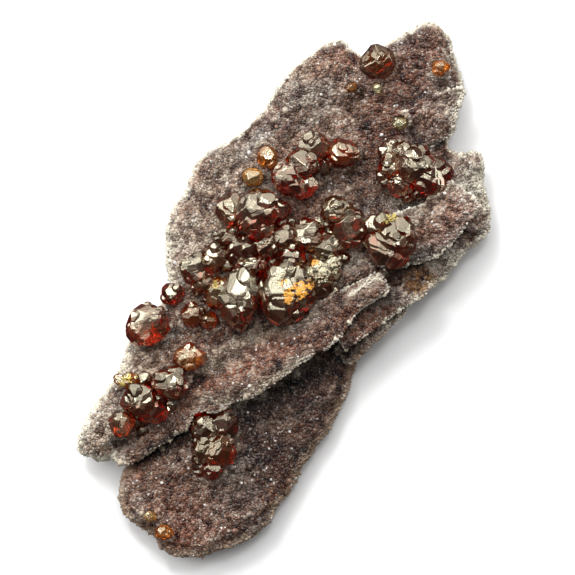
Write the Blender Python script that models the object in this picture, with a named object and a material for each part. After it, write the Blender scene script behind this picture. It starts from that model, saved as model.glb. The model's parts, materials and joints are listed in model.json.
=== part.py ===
"""Sphalerite on quartz, a cabinet mineral specimen lying on its broken back.

The matrix is one piece of drusy quartz: overlapping blades of rock that all strike the
same way, under a sugary crust.  Blocky sphalerite crystals sit in sockets in it, alone,
in short strings, and in one large cluster.

The frame is +X to the right, +Y up the face of the plate and +Z out of it, with the
origin under the middle of the plate, on the surface that it lies on.  Sizes are in
millimetres here and become metres where a mesh is made.
"""

import itertools
import math
import random
from collections import namedtuple

import bmesh
import bpy
from mathutils import Euler, Vector, noise
from mathutils.geometry import delaunay_2d_cdt

MM = 0.001

# ---------------------------------------------------------------- driving dimensions
EDGE_STEP = 1.9          # length of one outline segment of a blade
GRID_STEP = 3.05         # spacing of the points over a blade's faces
GRID_CLEAR = 0.55        # share of that spacing kept free inside an outline
RIM_SHARE = 0.36         # share of a blade's thickness that curves in on each side
RAGGED = 0.45            # how far a broken edge wanders from its smooth line
RAGGED_WIDTH = 3.1
LUMP = 0.42              # height of the small lumps on a face
LUMP_WIDTH = 8.0
SWELL = 0.55             # height of the broad swells on a face
SWELL_WIDTH = 24.0
UNDER_ROUGH = 1.3        # an underside is this much lumpier than a face
SOCKET_GAP = 0.3         # clearance between a crystal and the quartz that holds it
SUNK = 0.36              # how high a crystal's middle stands, as a share of its height
TETRAHEDRON = (0.74, 0.84)    # distance of the larger tetrahedron's faces, as a share
TRUNCATION = (0.05, 0.15)     # how much further out the smaller tetrahedron's faces are
CUBE = 0.93                   # distance of the cube's faces
UNEVEN = 0.05                 # how far a face is off its ideal distance

BLADE_SEED = 11.0        # seeds of the uneven surfaces and of the crystals
SWELL_SEED = 7.3
UNDER_SEED = 31.0
BACK_SEED = 55.0
CRYSTAL_SEED = 100

QUARTZ_COLOUR = (0.20, 0.145, 0.125)
RUBY = (0.16, 0.020, 0.008)
ORANGE = (0.42, 0.095, 0.012)
HONEY = (0.45, 0.22, 0.07)
BROWN = (0.17, 0.095, 0.055)
GREEN_GREY = (0.36, 0.34, 0.22)

# A blade is a slab of rock.  Its face has height `level` at `middle` and climbs by
# `slope` along X and Y.  Its underside is either `thick` below the face or at the height
# `floor`, and the other is None.  Face and underside curve in over the width `rim`.
Blade = namedtuple("Blade", "name outline middle level slope thick floor rim")

BLADES = [
    Blade("upper_plate",
          [(10.2, 45.5), (14.8, 42.5), (19.5, 45.4), (25.6, 49.0), (29.6, 47.0), (31.4, 41.8),
           (33.0, 37.0), (31.8, 32.0), (30.0, 26.8), (29.2, 16.2), (26.0, 6.0), (18.0, 0.5),
           (8.0, -5.5), (-5.0, -13.0), (-17.0, -20.5), (-25.0, -26.0), (-31.0, -31.0),
           (-36.4, -30.4), (-37.8, -27.5), (-35.6, -22.4), (-31.6, -16.8), (-29.0, -12.0),
           (-28.0, -9.0), (-22.2, -2.3), (-20.8, 0.7), (-21.8, 7.0), (-20.8, 13.8),
           (-17.4, 19.4), (-14.8, 24.5), (-8.2, 28.4), (-3.7, 32.8), (-0.4, 38.2),
           (4.8, 42.8)],
          (4.0, 14.0), 8.6, (-0.012, -0.022), None, 1.4, 5.0),
    Blade("lower_plate",
          [(15.9, -9.9), (13.6, -13.2), (12.3, -18.2), (9.1, -24.5), (4.8, -31.1),
           (-0.4, -39.2), (-4.0, -44.1), (-9.8, -47.0), (-16.8, -49.0), (-23.1, -47.0),
           (-22.8, -45.5), (-28.9, -41.0), (-30.2, -36.7), (-28.5, -31.0), (-22.0, -25.0),
           (-13.0, -17.5), (-2.0, -9.5), (8.0, -3.5), (14.0, -4.0)],
          (-7.8, -34.2), 7.2, (-0.045, -0.050), None, 1.2, 4.5),
    Blade("right_lobe",
          [(29.2, 25.9), (31.8, 25.0), (34.3, 25.6), (36.3, 23.5), (36.6, 18.5), (38.1, 13.3),
           (37.2, 10.0), (33.2, 6.5), (29.4, 1.8), (23.8, -2.0), (19.8, -1.6), (19.5, 4.6),
           (24.2, 12.0), (27.4, 19.0)],
          (30.0, 12.0), 8.4, (-0.07, 0.03), None, 1.8, 3.5),
    Blade("ledge",
          [(15.9, 10.6), (18.8, 13.8), (25.3, 16.0), (27.8, 18.6), (30.3, 19.8), (34.6, 16.9),
           (35.7, 15.1), (31.8, 9.7), (27.6, 5.4), (23.5, 4.4), (18.0, 3.6)],
          (26.4, 12.6), 11.4, (0.09, -0.08), 3.8, None, 2.4),
    Blade("ridge",
          [(17.9, 3.4), (19.2, -0.7), (13.8, -4.0), (9.8, -9.5), (4.4, -12.8), (-0.3, -16.6),
           (-6.0, -20.0), (-12.9, -22.3), (-18.6, -26.3), (-24.0, -29.7), (-27.8, -32.0),
           (-31.8, -30.4), (-29.4, -25.6), (-21.3, -19.4), (-15.4, -14.0), (-7.8, -9.2),
           (0.1, -4.5), (7.6, -1.3), (13.8, 1.8)],
          (1.2, -10.8), 12.0, (0.25, -0.24), 3.4, None, 1.8),
    Blade("upper_lamella",
          [(9.4, -9.0), (9.8, -4.5), (15.5, -0.5), (21.0, 1.4), (27.2, 1.4), (26.0, -0.7),
           (20.2, -4.7), (14.8, -8.6), (11.2, -11.2)],
          (18.0, -4.5), 9.9, (0.02, -0.10), 2.2, None, 0.9),
    Blade("lower_lamella",
          [(9.8, -11.6), (10.0, -5.8), (16.0, -2.2), (22.8, -2.2), (22.2, -4.4), (18.8, -8.3),
           (14.3, -12.2), (12.0, -13.9)],
          (16.5, -8.6), 7.3, (0.03, -0.06), 2.3, None, 0.9),
    Blade("upper_step",
          [(20.6, 32.0), (24.4, 34.2), (29.2, 36.0), (32.6, 36.6), (31.9, 32.0), (30.2, 27.2),
           (26.4, 26.2), (21.7, 29.5)],
          (26.8, 31.0), 9.7, (0.03, 0.05), 2.8, None, 1.6),
    Blade("ridge_end",
          [(17.3, 2.7), (18.6, -0.4), (13.9, -3.3), (10.8, -2.4), (12.8, 0.3)],
          (15.0, -0.4), 13.9, (0.20, -0.20), 3.0, None, 1.2),
    Blade("ledge_knob",
          [(25.6, 9.6), (27.0, 11.6), (28.6, 11.0), (29.0, 8.8), (27.6, 6.9), (25.9, 7.4)],
          (27.2, 9.4), 12.9, (0.10, -0.10), 3.6, None, 1.9),
]

# The rock behind the blades, down to the flat break that the specimen lies on.
BACK_OUTLINE = [(21.0, 40.4), (27.6, 37.7), (27.0, 28.0), (30.4, 18.0), (29.4, 9.0), (20.0, 1.8),
                (11.0, -9.0), (7.6, -19.8), (0.6, -30.6), (-6.0, -40.0), (-15.0, -43.5),
                (-22.2, -40.6), (-25.4, -34.0), (-29.6, -27.0), (-23.4, -14.4), (-15.9, -1.8),
                (-16.6, 9.0), (-12.3, 19.2), (-2.4, 28.0), (5.4, 36.8)]
BACK_TOP = 4.8
BACK_GRID = 4.2
BACK_RIM = 4.5
BACK_CURVE = 0.6         # share of its thickness that curves up at its rim
HOLLOW = 2.6             # depth of the hollows broken out of the back
HOLLOW_WIDTH = 11.0
HOLLOW_START = 0.12      # the larger this is, the fewer the hollows
FLAT_RADIUS = 9.0        # the back is unbroken this far round the origin

# A crystal: the place of its middle, its half widths along X and Y, its half height, and
# how far the normal of its upper face leans towards +X and +Y.  A group is one solid.
Crystal = namedtuple("Crystal", "x y wide tall high lean")

GROUPS = {
    "sphalerite_crown": (RUBY, [Crystal(17.0, 41.2, 3.1, 3.6, 3.2, (-0.10, 0.30))]),
    "sphalerite_crown_orange": (ORANGE, [Crystal(28.2, 40.0, 1.7, 1.4, 1.5, (0.20, 0.30))]),
    "sphalerite_crown_grain": (ORANGE, [Crystal(12.2, 36.4, 1.0, 0.8, 0.9, (0.10, 0.30))]),
    "sphalerite_crown_pale": (GREEN_GREY, [Crystal(16.9, 36.3, 1.0, 0.9, 0.9, (-0.20, 0.10))]),
    "sphalerite_step_pale": (GREEN_GREY, [Crystal(20.9, 30.0, 1.3, 1.1, 1.1, (0.00, 0.20))]),
    "sphalerite_shoulder_orange": (ORANGE, [Crystal(-3.0, 23.9, 1.9, 2.0, 1.9, (0.20, 0.30))]),
    "sphalerite_shoulder_honey": (HONEY, [Crystal(-5.5, 20.3, 1.9, 1.6, 1.7, (-0.10, 0.30))]),
    "sphalerite_upper_string": (RUBY, [
        Crystal(10.6, 24.5, 2.9, 2.7, 2.7, (0.10, 0.50)),
        Crystal(5.7, 25.4, 2.7, 2.8, 2.7, (0.00, 0.30)),
        Crystal(3.2, 22.3, 3.0, 2.9, 3.0, (-0.20, 0.30)),
        Crystal(0.8, 20.0, 2.9, 3.0, 2.9, (-0.30, 0.30)),
        Crystal(3.6, 18.9, 2.4, 2.4, 2.1, (0.20, -0.20))]),
    "sphalerite_cluster": (BROWN, [
        Crystal(-9.3, 14.4, 2.9, 3.1, 2.8, (-0.20, 0.20)),
        Crystal(-4.8, 14.1, 4.0, 4.0, 3.8, (-0.10, 0.10)),
        Crystal(-4.1, 10.9, 2.5, 2.5, 2.4, (0.10, -0.30)),
        Crystal(-0.7, 14.4, 2.0, 2.0, 1.9, (0.30, 0.10)),
        Crystal(-10.2, 9.4, 2.5, 2.0, 2.4, (-0.20, 0.10)),
        Crystal(-8.2, 7.4, 2.9, 2.8, 2.6, (0.20, -0.20)),
        Crystal(-12.3, 5.8, 2.5, 2.5, 2.3, (-0.30, 0.20)),
        Crystal(-15.7, 3.6, 2.9, 2.7, 2.6, (-0.10, 0.20)),
        Crystal(-14.4, 1.2, 2.2, 2.1, 2.2, (-0.20, -0.20)),
        Crystal(-11.8, -0.6, 2.4, 2.9, 2.5, (-0.20, 0.20)),
        Crystal(-2.8, 8.1, 2.6, 2.9, 3.0, (-0.30, 0.10)),
        Crystal(0.3, 9.0, 2.9, 2.8, 3.0, (0.00, 0.20)),
        Crystal(4.4, 9.9, 3.0, 2.9, 3.1, (0.10, 0.20)),
        Crystal(1.4, 6.2, 2.6, 2.5, 2.5, (0.10, -0.20)),
        Crystal(9.3, 14.3, 2.8, 2.6, 2.6, (0.10, 0.30)),
        Crystal(11.7, 11.2, 3.2, 3.3, 3.2, (0.20, 0.20)),
        Crystal(7.7, 7.8, 3.7, 2.6, 2.6, (0.10, 0.10)),
        Crystal(-7.9, -1.4, 3.8, 5.0, 3.9, (-0.20, 0.10)),
        Crystal(-6.2, 4.2, 3.3, 1.9, 2.4, (-0.20, 0.30)),
        Crystal(0.3, -0.6, 5.2, 5.2, 4.4, (-0.10, 0.30)),
        Crystal(7.0, 3.3, 3.6, 2.5, 2.8, (0.10, 0.30)),
        Crystal(6.6, 0.8, 2.7, 2.4, 2.4, (0.20, 0.10))]),
    "sphalerite_string_end": (RUBY, [
        Crystal(-16.4, -4.5, 2.2, 2.2, 2.1, (-0.20, 0.20)),
        Crystal(-13.3, -5.5, 1.7, 1.6, 1.6, (0.20, 0.20))]),
    "sphalerite_edge_red": (RUBY, [Crystal(-19.9, -0.8, 2.1, 2.2, 2.2, (-0.20, 0.30))]),
    "sphalerite_edge_grey": (BROWN, [
        Crystal(-24.6, -6.3, 3.6, 3.9, 3.4, (-0.30, 0.20)),
        Crystal(-23.0, -5.1, 2.0, 2.0, 2.1, (0.20, 0.30))]),
    "sphalerite_ledge_group": (RUBY, [
        Crystal(23.5, 22.4, 3.5, 3.6, 3.6, (0.00, 0.30)),
        Crystal(26.2, 20.3, 3.5, 3.4, 3.2, (0.30, 0.10)),
        Crystal(21.2, 19.0, 2.4, 2.4, 2.2, (-0.20, -0.10)),
        Crystal(21.2, 24.9, 1.9, 1.8, 1.9, (0.10, 0.30)),
        Crystal(19.4, 22.4, 2.4, 2.6, 2.3, (-0.30, 0.20))]),
    "sphalerite_ledge_large": (RUBY, [Crystal(19.1, 9.3, 4.6, 4.6, 4.2, (-0.25, 0.30))]),
    "sphalerite_slope_pale": (GREEN_GREY, [
        Crystal(-16.8, -12.2, 3.1, 2.0, 2.0, (0.10, 0.30))]),
    "sphalerite_left_group": (BROWN, [
        Crystal(-20.4, -16.8, 3.2, 2.9, 2.9, (-0.10, 0.30)),
        Crystal(-25.6, -19.8, 3.2, 3.1, 3.0, (-0.30, 0.20)),
        Crystal(-23.4, -21.6, 2.6, 2.3, 2.4, (0.10, -0.10)),
        Crystal(-28.9, -24.1, 2.2, 2.5, 2.2, (-0.30, 0.10)),
        Crystal(-28.2, -16.2, 2.2, 1.3, 1.5, (-0.20, 0.30))]),
    "sphalerite_lower_group": (RUBY, [
        Crystal(-14.3, -24.6, 2.7, 2.7, 2.8, (-0.20, 0.20)),
        Crystal(-10.8, -24.2, 2.6, 2.9, 2.5, (0.30, 0.10)),
        Crystal(-11.4, -28.8, 3.0, 3.2, 2.9, (0.20, 0.10)),
        Crystal(-14.3, -28.6, 2.5, 2.6, 2.6, (-0.20, 0.10)),
        Crystal(-12.8, -32.2, 2.1, 2.0, 2.0, (0.00, -0.20))]),
    "sphalerite_foot_gold": (HONEY, [Crystal(-24.0, -40.7, 1.1, 0.9, 1.0, (-0.20, 0.10))]),
    "sphalerite_foot_orange": (ORANGE, [Crystal(-21.6, -43.6, 1.5, 1.4, 1.4, (0.10, 0.20))]),
}


# ---------------------------------------------------------------- scene and materials
def clear_scene():
    for item in list(bpy.data.objects):
        bpy.data.objects.remove(item, do_unlink=True)


def make_material(name, colour, roughness):
    material = bpy.data.materials.new(name)
    material.use_nodes = True
    shader = material.node_tree.nodes["Principled BSDF"]
    shader.inputs["Base Color"].default_value = (*colour, 1.0)
    shader.inputs["Roughness"].default_value = roughness
    shader.inputs["Metallic"].default_value = 0.0
    return material


def add_object(name, bm, material, collection):
    mesh = bpy.data.meshes.new(name)
    bm.to_mesh(mesh)
    bm.free()
    mesh.materials.append(material)
    item = bpy.data.objects.new(name, mesh)
    collection.objects.link(item)
    return item


def hide_as_tool(item):
    item.hide_render = True
    item.display_type = "WIRE"


def new_collection(name):
    collection = bpy.data.collections.new(name)
    bpy.context.scene.collection.children.link(collection)
    return collection


# ---------------------------------------------------------------- outlines and faces
def smooth_outline(points, step, seed):
    """A closed Catmull-Rom curve through the points, one vertex each `step`, broken up."""
    count = len(points)
    result = []
    for i in range(count):
        p0, p1, p2, p3 = (Vector(points[(i + k) % count]) for k in (-1, 0, 1, 2))
        pieces = max(1, round((p2 - p1).length / step))
        for k in range(pieces):
            t = k / pieces
            place = (2 * p1 + (p2 - p0) * t + (2 * p0 - 5 * p1 + 4 * p2 - p3) * t ** 2
                     + (3 * p1 - p0 - 3 * p2 + p3) * t ** 3) / 2
            wander = (noise.noise(Vector((*place / RAGGED_WIDTH, seed + axis))) for axis in (0, 1))
            result.append(place + RAGGED * Vector(wander))
    return result


def inside(point, outline):
    hit = False
    for a, b in zip(outline, outline[1:] + outline[:1]):
        if (a.y > point.y) != (b.y > point.y):
            if point.x < a.x + (point.y - a.y) / (b.y - a.y) * (b.x - a.x):
                hit = not hit
    return hit


def edge_distance(point, outline):
    nearest = math.inf
    for a, b in zip(outline, outline[1:] + outline[:1]):
        along = b - a
        share = max(0.0, min(1.0, (point - a).dot(along) / along.length_squared))
        nearest = min(nearest, (point - a - along * share).length)
    return nearest


def grid_inside(outline, step):
    """Points on a hexagonal grid, kept clear of the outline."""
    low = Vector((min(p.x for p in outline), min(p.y for p in outline)))
    high = Vector((max(p.x for p in outline), max(p.y for p in outline)))
    row_step = step * math.sqrt(3) / 2
    points = []
    for row in range(int((high.y - low.y) / row_step) + 1):
        shift = step / 2 * (row % 2)
        for column in range(int((high.x - low.x) / step) + 1):
            point = Vector((low.x + shift + column * step, low.y + row * row_step))
            if inside(point, outline) and edge_distance(point, outline) > GRID_CLEAR * step:
                points.append(point)
    return points


def lumps(x, y, seed):
    """Height of the uneven surface at a place; each seed gives another surface."""
    small = noise.noise(Vector((x / LUMP_WIDTH, y / LUMP_WIDTH, seed)))
    broad = noise.noise(Vector((x / SWELL_WIDTH, y / SWELL_WIDTH, seed + SWELL_SEED)))
    return LUMP * small + SWELL * broad


def section(blade, outline, seed, p):
    """Heights of a blade's underside and face at a point, both curved in at its rim."""
    face = (blade.level + blade.slope[0] * (p.x - blade.middle[0])
            + blade.slope[1] * (p.y - blade.middle[1]) + lumps(p.x, p.y, seed))
    if blade.floor is None:
        under = face - blade.thick
    else:
        under = blade.floor + UNDER_ROUGH * lumps(p.x, p.y, seed + UNDER_SEED)
    t = max(0.0, 1.0 - edge_distance(p, outline) / blade.rim)
    curve = RIM_SHARE * (face - under) * (1.0 - math.sqrt(1.0 - t * t))
    return under + curve, face - curve


def slab_mesh(outline, points, top, bottom):
    """A closed slab on an outline, its faces at the heights top(p) and bottom(p)."""
    flat = outline + points
    ring = len(outline)
    result = delaunay_2d_cdt(flat, [], [list(range(ring))], 1, 1e-6)
    places, triangles = result[0], result[2]
    bm = bmesh.new()
    upper = [bm.verts.new(Vector((p.x, p.y, top(p))) * MM) for p in places]
    lower = [bm.verts.new(Vector((p.x, p.y, bottom(p))) * MM) for p in places]
    for a, b, c in triangles:
        bm.faces.new((upper[a], upper[b], upper[c]))
        bm.faces.new((lower[c], lower[b], lower[a]))
    for a in range(ring):
        b = (a + 1) % ring
        bm.faces.new((upper[b], upper[a], lower[a], lower[b]))
    bmesh.ops.recalc_face_normals(bm, faces=bm.faces)
    return bm


def blade_mesh(blade, outline, seed):
    def top(p):
        return section(blade, outline, seed, p)[1]

    def bottom(p):
        return section(blade, outline, seed, p)[0]

    return slab_mesh(outline, grid_inside(outline, GRID_STEP), top, bottom)


def back_mesh(outline):
    """The rock behind the blades: flat where it rests, hollowed and curved up elsewhere."""
    def top(p):
        return BACK_TOP

    def bottom(p):
        dip = noise.noise(Vector((*p / HOLLOW_WIDTH, BACK_SEED))) - HOLLOW_START
        reach = max(0.0, min(1.0, p.length / FLAT_RADIUS - 1.0))
        t = max(0.0, 1.0 - edge_distance(p, outline) / BACK_RIM)
        curve = BACK_CURVE * BACK_TOP * (1.0 - math.sqrt(1.0 - t * t))
        return curve + HOLLOW * max(0.0, dip) * reach

    return slab_mesh(outline, grid_inside(outline, BACK_GRID), top, bottom)


# ---------------------------------------------------------------- sphalerite crystals
def crystal_planes(crystal, height, rng):
    """Planes of one crystal, as (outward unit normal, a point on the plane).

    They are the two tetrahedra and the cube of sphalerite, each plane a little off its
    ideal distance, with a face of the larger tetrahedron on top.
    """
    upward = Vector((*crystal.lean, 1.0)).normalized()
    turn = Vector((0, 0, 1)).rotation_difference(upward).to_matrix()
    turn = turn @ Euler((0, 0, rng.uniform(0, math.tau))).to_matrix()
    stand = Vector((1, 1, 1)).rotation_difference(Vector((0, 0, 1))).to_matrix()
    positive = rng.uniform(*TETRAHEDRON)
    negative = positive + rng.uniform(*TRUNCATION)
    forms = []
    for sx, sy, sz in itertools.product((-1, 1), repeat=3):
        share = positive if sx * sy * sz > 0 else negative
        forms.append((Vector((sx, sy, sz)), share + rng.uniform(-UNEVEN, UNEVEN)))
    for axis in range(3):
        for sign in (-1, 1):
            normal = Vector((0, 0, 0))
            normal[axis] = sign
            forms.append((normal, CUBE + rng.uniform(-UNEVEN, UNEVEN)))
    stretch = Vector((crystal.wide, crystal.tall, crystal.high))
    middle = Vector((crystal.x, crystal.y, height))
    planes = []
    for normal, share in forms:
        facing = turn @ stand @ normal.normalized()
        foot = Vector(facing[i] * share * stretch[i] for i in range(3))
        outward = Vector(facing[i] / stretch[i] for i in range(3)).normalized()
        planes.append((outward, middle + foot))
    return planes


def solid_of_planes(planes, middle, reach, gap):
    """The convex solid inside the planes, each plane moved out by `gap`."""
    bm = bmesh.new()
    bmesh.ops.create_cube(bm, size=4 * reach * MM)
    bmesh.ops.translate(bm, verts=bm.verts, vec=middle * MM)
    for outward, foot in planes:
        cut = bmesh.ops.bisect_plane(
            bm, geom=bm.verts[:] + bm.edges[:] + bm.faces[:], dist=1e-8,
            plane_co=(foot + outward * gap) * MM, plane_no=outward, clear_outer=True)
        edges = [e for e in cut["geom_cut"] if isinstance(e, bmesh.types.BMEdge)]
        if edges:
            bmesh.ops.contextual_create(bm, geom=edges)
    bmesh.ops.remove_doubles(bm, verts=bm.verts, dist=0.02 * MM)
    bmesh.ops.dissolve_limit(bm, angle_limit=math.radians(1), verts=bm.verts, edges=bm.edges)
    bmesh.ops.recalc_face_normals(bm, faces=bm.faces)
    return bm


# ---------------------------------------------------------------- the specimen
def ground_height(shapes, x, y):
    """Height of the highest blade face at a place."""
    best = 0.0
    for blade, outline, seed in shapes:
        point = Vector((x, y))
        if inside(point, outline):
            best = max(best, section(blade, outline, seed, point)[1])
    return best


def add_boolean(item, name, operation, collection):
    modifier = item.modifiers.new(name, "BOOLEAN")
    modifier.operation = operation
    modifier.operand_type = "COLLECTION"
    modifier.collection = collection
    modifier.solver = "EXACT"


def middle_of(outlines):
    """The middle of the box round all the outlines, which is that of the whole plate."""
    xs = [p.x for outline in outlines for p in outline]
    ys = [p.y for outline in outlines for p in outline]
    return Vector(((min(xs) + max(xs)) / 2, (min(ys) + max(ys)) / 2, 0.0))


def build():
    clear_scene()
    quartz = make_material("quartz", QUARTZ_COLOUR, 0.55)
    blades = new_collection("blades")
    sockets = new_collection("sockets")
    pieces = bpy.context.scene.collection

    shapes = []
    for number, blade in enumerate(BLADES):
        seed = BLADE_SEED * (number + 1)
        shapes.append((blade, smooth_outline(blade.outline, EDGE_STEP, seed), seed))
    for blade, outline, seed in shapes:
        hide_as_tool(add_object(blade.name, blade_mesh(blade, outline, seed), quartz, blades))

    back = smooth_outline(BACK_OUTLINE, 2 * EDGE_STEP, BACK_SEED)
    matrix = add_object("quartz_matrix", back_mesh(back), quartz, pieces)
    add_boolean(matrix, "grown together", "UNION", blades)
    add_boolean(matrix, "sockets", "DIFFERENCE", sockets)

    for index, (name, (colour, crystals)) in enumerate(GROUPS.items()):
        rng = random.Random(CRYSTAL_SEED + index)
        material = make_material(name, colour, 0.2)
        others = None
        if len(crystals) > 1:
            others = new_collection(name + "_crystals")
        for number, crystal in enumerate(crystals):
            height = ground_height(shapes, crystal.x, crystal.y) + SUNK * crystal.high
            planes = crystal_planes(crystal, height, rng)
            middle = Vector((crystal.x, crystal.y, height))
            reach = max(crystal.wide, crystal.tall, crystal.high)
            solid = solid_of_planes(planes, middle, reach, 0.0)
            socket = solid_of_planes(planes, middle, reach, SOCKET_GAP)
            hide_as_tool(add_object(f"{name}_socket_{number}", socket, quartz, sockets))
            if number == 0:
                first = add_object(name, solid, material, pieces)
            else:
                hide_as_tool(add_object(f"{name}_{number}", solid, material, others))
        if others:
            add_boolean(first, "grown together", "UNION", others)

    middle = middle_of([outline for blade, outline, seed in shapes])
    for item in bpy.data.objects:
        item.location = -middle * MM


build()
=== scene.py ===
"""Sphalerite on quartz: the look of the specimen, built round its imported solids."""

import itertools
import json
import math
import random

import bmesh
import bpy
import numpy as np
from mathutils import Matrix, Vector, noise
from mathutils.bvhtree import BVHTree
from mathutils.kdtree import KDTree

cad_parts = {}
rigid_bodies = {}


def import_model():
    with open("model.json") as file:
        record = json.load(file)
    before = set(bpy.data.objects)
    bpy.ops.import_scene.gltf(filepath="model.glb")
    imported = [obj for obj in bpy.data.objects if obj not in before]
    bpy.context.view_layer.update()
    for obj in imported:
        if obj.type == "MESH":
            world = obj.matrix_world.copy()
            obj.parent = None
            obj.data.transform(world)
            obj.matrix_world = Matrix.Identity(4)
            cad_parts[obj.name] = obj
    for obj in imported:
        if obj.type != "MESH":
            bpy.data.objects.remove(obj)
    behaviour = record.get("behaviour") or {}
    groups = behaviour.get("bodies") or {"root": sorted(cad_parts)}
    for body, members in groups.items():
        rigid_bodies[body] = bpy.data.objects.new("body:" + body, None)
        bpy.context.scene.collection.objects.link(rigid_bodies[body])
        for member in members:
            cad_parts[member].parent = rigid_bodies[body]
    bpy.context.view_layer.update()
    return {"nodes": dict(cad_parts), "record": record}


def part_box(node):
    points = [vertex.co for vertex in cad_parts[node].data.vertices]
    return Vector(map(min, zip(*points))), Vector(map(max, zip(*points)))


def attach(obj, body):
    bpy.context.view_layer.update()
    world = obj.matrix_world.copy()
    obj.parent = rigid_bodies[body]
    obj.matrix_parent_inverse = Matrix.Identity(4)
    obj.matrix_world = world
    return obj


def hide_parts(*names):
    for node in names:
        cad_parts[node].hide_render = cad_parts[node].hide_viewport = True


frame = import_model()
MM = 0.001


# ================================================================ the quartz rock
# One piece of grey-brown quartz that grew as overlapping blades. Its face and rims lie
# under the crust, and its back is a plain rough break, with no crystals on it.

ROCK_VOXEL = 0.50 * MM
CRUST_DEPTH = 0.42 * MM       # the rock lies this far under the tips of the crust
CRYSTAL_CLEAR = (0.5 * MM, 1.6 * MM)      # it isn't worn back this near to a crystal
BACK_FACING = -0.35           # a face that looks down more than this is bare rock
BACK_BLEND = 0.2
STRIKE = math.radians(33.0)   # the blades of quartz run this way, from the X axis
STREAK = 3.5                  # lumps are this many times longer along the strike
HOLLOW = 0.55 * MM            # the deepest hollows between the lumps
KNOB_NOISE = ((2.4 * MM, 3.0), (1.1 * MM, 8.0))      # wide and small lumps: width and seed
STREAK_NOISE = (1.6 * MM, 14.0)
CHIP_NOISE = ((3.4 * MM, 21.0), (1.3 * MM, 33.0))    # wide and small chips out of the broken back
CHIP_DEPTH = 0.9              # in millimetres
RESTING = 0.05 * MM           # the specimen rests on the parts that are lower than this
RESTING_CHIPS = (0.12, 0.30)  # only the deeper chips are cut into those parts
RESTING_SHARE = 0.6           # and only this share of their depth
SMOOTHING_ROUNDS = 30
SKIN = 0.05 * MM              # thickness is measured from this far inside the surface
THIN_SHARE = 0.3              # no side of a thin blade is worn back more than this share of it
QUARTZ_IOR = 1.54
ROCK_STAIN = 260.0            # noise features to a metre
ROCK_GRAIN = 1900.0
ROCK_BUMP = 0.25 * MM


def select_only(piece):
    bpy.ops.object.select_all(action="DESELECT")
    piece.select_set(True)
    bpy.context.view_layer.objects.active = piece


def copy_of_node(node, name):
    """A copy of a CAD node's mesh in an object of its own, with its doubles merged."""
    piece = bpy.data.objects.new(name, frame["nodes"][node].data.copy())
    bpy.context.scene.collection.objects.link(piece)
    piece.data.materials.clear()
    select_only(piece)
    bpy.ops.object.mode_set(mode="EDIT")
    bpy.ops.mesh.select_all(action="SELECT")
    bpy.ops.mesh.remove_doubles(threshold=1e-6)
    bpy.ops.object.mode_set(mode="OBJECT")
    return piece


def coordinates(mesh):
    places = np.zeros(len(mesh.vertices) * 3)
    mesh.vertices.foreach_get("co", places)
    return places.reshape(-1, 3)


def vertex_normals(mesh):
    normals = np.zeros(len(mesh.vertices) * 3)
    mesh.vertex_normals.foreach_get("vector", normals)
    return normals.reshape(-1, 3)


def smoothstep(low, high, value):
    t = np.clip((value - low) / (high - low), 0.0, 1.0)
    return t * t * (3.0 - 2.0 * t)


def noise_field(places, width, seed):
    """Smooth noise at each place, about -0.6 to 0.6, with features `width` across."""
    return np.array([noise.noise(Vector(p / width) + Vector((seed, seed, seed))) for p in places])


def tree_of(pieces):
    """A search tree over the faces of several pieces at once."""
    joined = bmesh.new()
    for piece in pieces:
        joined.from_mesh(piece.data)
    tree = BVHTree.FromBMesh(joined)
    joined.free()
    return tree


sphalerite_nodes = sorted(n for n in frame["nodes"] if n.startswith("sphalerite"))
crystal_tree = tree_of([frame["nodes"][node] for node in sphalerite_nodes])


def crystal_distance(places):
    return np.array([crystal_tree.find_nearest(Vector(p))[3] for p in places])


def along_strike(places):
    """The places turned and squeezed so that smooth noise on them makes streaks."""
    cos, sin = math.cos(STRIKE), math.sin(STRIKE)
    along = (places[:, 0] * cos + places[:, 1] * sin) / STREAK
    across = places[:, 1] * cos - places[:, 0] * sin
    return np.column_stack([along, across, places[:, 2]])


def convexity(mesh, rounds):
    """How far each vertex stands out of the surface round it, in metres."""
    places = coordinates(mesh)
    edges = np.zeros(len(mesh.edges) * 2, int)
    mesh.edges.foreach_get("vertices", edges)
    one, two = edges.reshape(-1, 2).T
    count = np.bincount(edges, minlength=len(places))[:, None]
    smooth = places.copy()
    for _ in range(rounds):
        total = np.zeros_like(smooth)
        for axis in range(3):
            total[:, axis] = (np.bincount(one, smooth[two, axis], len(places))
                              + np.bincount(two, smooth[one, axis], len(places)))
        smooth = 0.5 * smooth + 0.5 * total / count
    return ((places - smooth) * vertex_normals(mesh)).sum(axis=1)


def thickness(piece, places, normals):
    """How thick the piece is under each of its vertices, in metres."""
    tree = BVHTree.FromObject(piece, bpy.context.evaluated_depsgraph_get())
    start = places - normals * SKIN
    hits = (tree.ray_cast(Vector(s), Vector(-n))[3] for s, n in zip(start, normals))
    return np.array([1.0 if far is None else far for far in hits])


rock = copy_of_node("quartz_matrix", "quartz_rock")
remesh = rock.modifiers.new("even mesh", "REMESH")
remesh.mode = "VOXEL"
remesh.voxel_size = ROCK_VOXEL
remesh.adaptivity = 0.0
bpy.ops.object.modifier_apply(modifier=remesh.name)

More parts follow.
